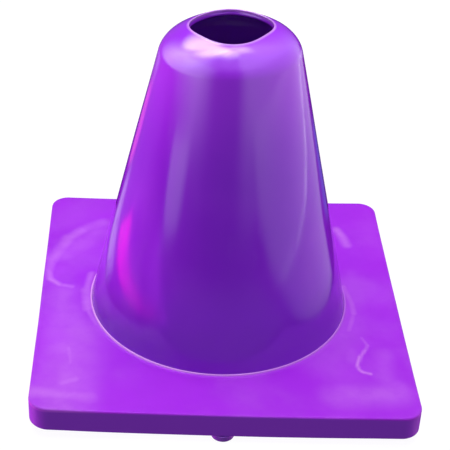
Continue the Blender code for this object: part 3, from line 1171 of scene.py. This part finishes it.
def make_card(card):
    """Builds one card as a grid between its rails."""
    first_edge, second_edge, start, end = card.soft
    verts = []
    glow = []
    for i in range(CARD_STEPS + 1):
        along = i / CARD_STEPS
        near = along_rail(card.first_rail, along)
        far = along_rail(card.second_rail, along)
        level = card.bright[0] + (card.bright[1] - card.bright[0]) * along
        for j in range(CARD_STEPS + 1):
            across = j / CARD_STEPS
            verts.append((*near.lerp(far, across), CARD_HEIGHT))
            glow.append(faded(across, first_edge, second_edge) * faded(along, start, end) * level)
    row = CARD_STEPS + 1
    faces = [
        (i * row + j, i * row + j + 1, (i + 1) * row + j + 1, (i + 1) * row + j)
        for i in range(CARD_STEPS)
        for j in range(CARD_STEPS)
    ]
    reflector(card.name, verts, faces, glow, card.radiance, card.colour)


def ramp(value, start, full):
    """Smooth step from 0 at start to 1 at full, which may lie below start."""
    return ease((value - start) / (full - start))


def lobe(place, centre, core, rim):
    """A round patch of the tent: 1 within core degrees of its centre and 0 past rim degrees."""
    (turn, rise), (centre_turn, centre_rise) = [map(math.radians, pair) for pair in (place, centre)]
    near = math.sin(rise) * math.sin(centre_rise)
    near += math.cos(rise) * math.cos(centre_rise) * math.cos(turn - centre_turn)
    return ramp(math.degrees(math.acos(min(max(near, -1), 1))), rim, core)


def open_front(rise):
    """The tent's dim open front, which grows lighter towards the roof and goes round behind."""
    return (0.15 + 1.3 * ramp(rise, 30, 72)) * ramp(rise, TENT_FOOT, 0)


def left_wall(turn, rise):
    """The brighter wall, which dims towards its front end and draws back under the roof."""
    lean = max(rise - 43, 0)
    glow = 3.2 + 3.6 * ramp(rise, 0, 45) * ramp(turn, -50, -85)
    glow *= ramp(turn, -20 - lean, -56 - lean) * ramp(turn, -152, -112)
    return glow * ramp(rise, -7, 4) * (1 - 0.5 * ramp(rise, 40, 62))


def right_wall(turn, rise):
    """The even wall on the right, a little lighter higher up."""
    glow = 1.35 + 0.3 * ramp(rise, 5, 60)
    return glow * ramp(turn, 6, 28) * ramp(turn, 160, 132) * ramp(rise, TENT_FOOT, 0)


def tent_glow(turn, rise):
    """The tent's radiance in a direction, in degrees: turned right from the front, and up."""
    glow = open_front(rise) + left_wall(turn, rise) + right_wall(turn, rise)
    for middle, core, rim, radiance in TENT_LAMPS:
        glow += radiance * lobe((turn, rise), middle, core, rim)
    return glow


def make_tent():
    """The tent, a dome over the object."""
    verts = []
    glow = []
    for row in range(TENT_ROWS + 1):
        rise = TENT_FOOT + (90 - TENT_FOOT) * row / TENT_ROWS
        up = math.radians(rise)
        flat = TENT_RADIUS * math.cos(up)
        height = TENT_RADIUS * math.sin(up)
        for column in range(TENT_COLUMNS):
            turn = 360 * column / TENT_COLUMNS - 180
            round_z = math.radians(turn)
            verts.append((flat * math.sin(round_z), -flat * math.cos(round_z), height))
            glow.append(tent_glow(turn, rise))
    reflector("light_tent", verts, band_faces(TENT_ROWS + 1, TENT_COLUMNS), glow, 1, WHITE)


def reflector(name, verts, faces, glow, radiance, colour):
    """A glowing stage mesh that only gloss sees."""
    mesh = new_mesh(name, verts, faces)
    share = mesh.attributes.new("glow", "FLOAT", "POINT")
    share.data.foreach_set("value", glow)
    material = bpy.data.materials.new(name)
    material.use_nodes = True
    tree = material.node_tree
    tree.nodes.clear()
    attribute = tree.nodes.new("ShaderNodeAttribute")
    attribute.attribute_name = "glow"
    strength = tree.nodes.new("ShaderNodeMath")
    strength.operation = "MULTIPLY"
    strength.inputs[1].default_value = radiance
    emission = tree.nodes.new("ShaderNodeEmission")
    emission.inputs["Color"].default_value = (*colour, 1)
    clear = tree.nodes.new("ShaderNodeBsdfTransparent")
    both = tree.nodes.new("ShaderNodeAddShader")
    output = tree.nodes.new("ShaderNodeOutputMaterial")
    tree.links.new(attribute.outputs["Fac"], strength.inputs[0])
    tree.links.new(strength.outputs[0], emission.inputs["Strength"])
    tree.links.new(emission.outputs[0], both.inputs[0])
    tree.links.new(clear.outputs[0], both.inputs[1])
    tree.links.new(both.outputs[0], output.inputs["Surface"])
    mesh.materials.append(material)
    obj = add_object(name, mesh)
    obj.visible_camera = False
    obj.visible_diffuse = False
    obj.visible_shadow = False


def softbox(name, centre, facing, size, radiance, colour):
    """A square light with an even radiance that lights surfaces but doesn't show in gloss."""
    light = bpy.data.lights.new(name, "AREA")
    light.size = size
    light.color = colour
    light.energy = radiance * math.pi * size * size
    obj = bpy.data.objects.new(name, light)
    bpy.context.scene.collection.objects.link(obj)
    obj.location = centre
    obj.rotation_euler = Vector(facing).to_track_quat("-Z", "Y").to_euler()
    obj.visible_camera = False
    obj.visible_glossy = False


def make_lights():
    """The soft lights, which only light surfaces, and the tent and cards, which only show in gloss."""
    for box in SOFTBOXES:
        softbox(*box)
    make_tent()
    for card in CARDS:
        make_card(card)


# Camera, fitted to the photograph

AZIMUTH = math.radians(-3.52)
ELEVATION = math.radians(33.0)
ROLL = math.radians(2.93)
DISTANCE = 585.2 * MM
TARGET = Vector((1.55, 1.89, 52.8)) * MM
LENS = 102.45
SENSOR_WIDTH = 36
NEAR_CLIP = 10 * MM


def make_camera():
    """The camera, set back from the target at the photograph's angle."""
    data = bpy.data.cameras.new("camera")
    data.lens = LENS
    data.sensor_width = SENSOR_WIDTH
    data.clip_start = NEAR_CLIP
    camera = bpy.data.objects.new("camera", data)
    bpy.context.scene.collection.objects.link(camera)
    back = Vector((
        math.sin(AZIMUTH) * math.cos(ELEVATION),
        -math.cos(AZIMUTH) * math.cos(ELEVATION),
        math.sin(ELEVATION),
    ))
    right = (-back).cross(Vector((0, 0, 1))).normalized()
    up = back.cross(right)
    turn = Matrix((right, up, back)).transposed() @ Matrix.Rotation(ROLL, 3, "Z")
    camera.matrix_world = Matrix.Translation(TARGET + back * DISTANCE) @ turn.to_4x4()
    bpy.context.scene.camera = camera


def main():
    """Builds the dressed cone, then the studio and the camera."""
    bpy.context.scene.view_settings.view_transform = "Standard"
    dress(make_shell(), gloss_vinyl(), "gloss_vinyl", "cone_shell")
    dress(make_slab(), satin_vinyl(), "satin_vinyl", "base_slab")
    rubber = foot_vinyl()
    for name in FEET:
        dress(make_foot(name), rubber, "foot_vinyl", name)
    make_floor()
    make_room()
    make_lights()
    make_camera()


main()
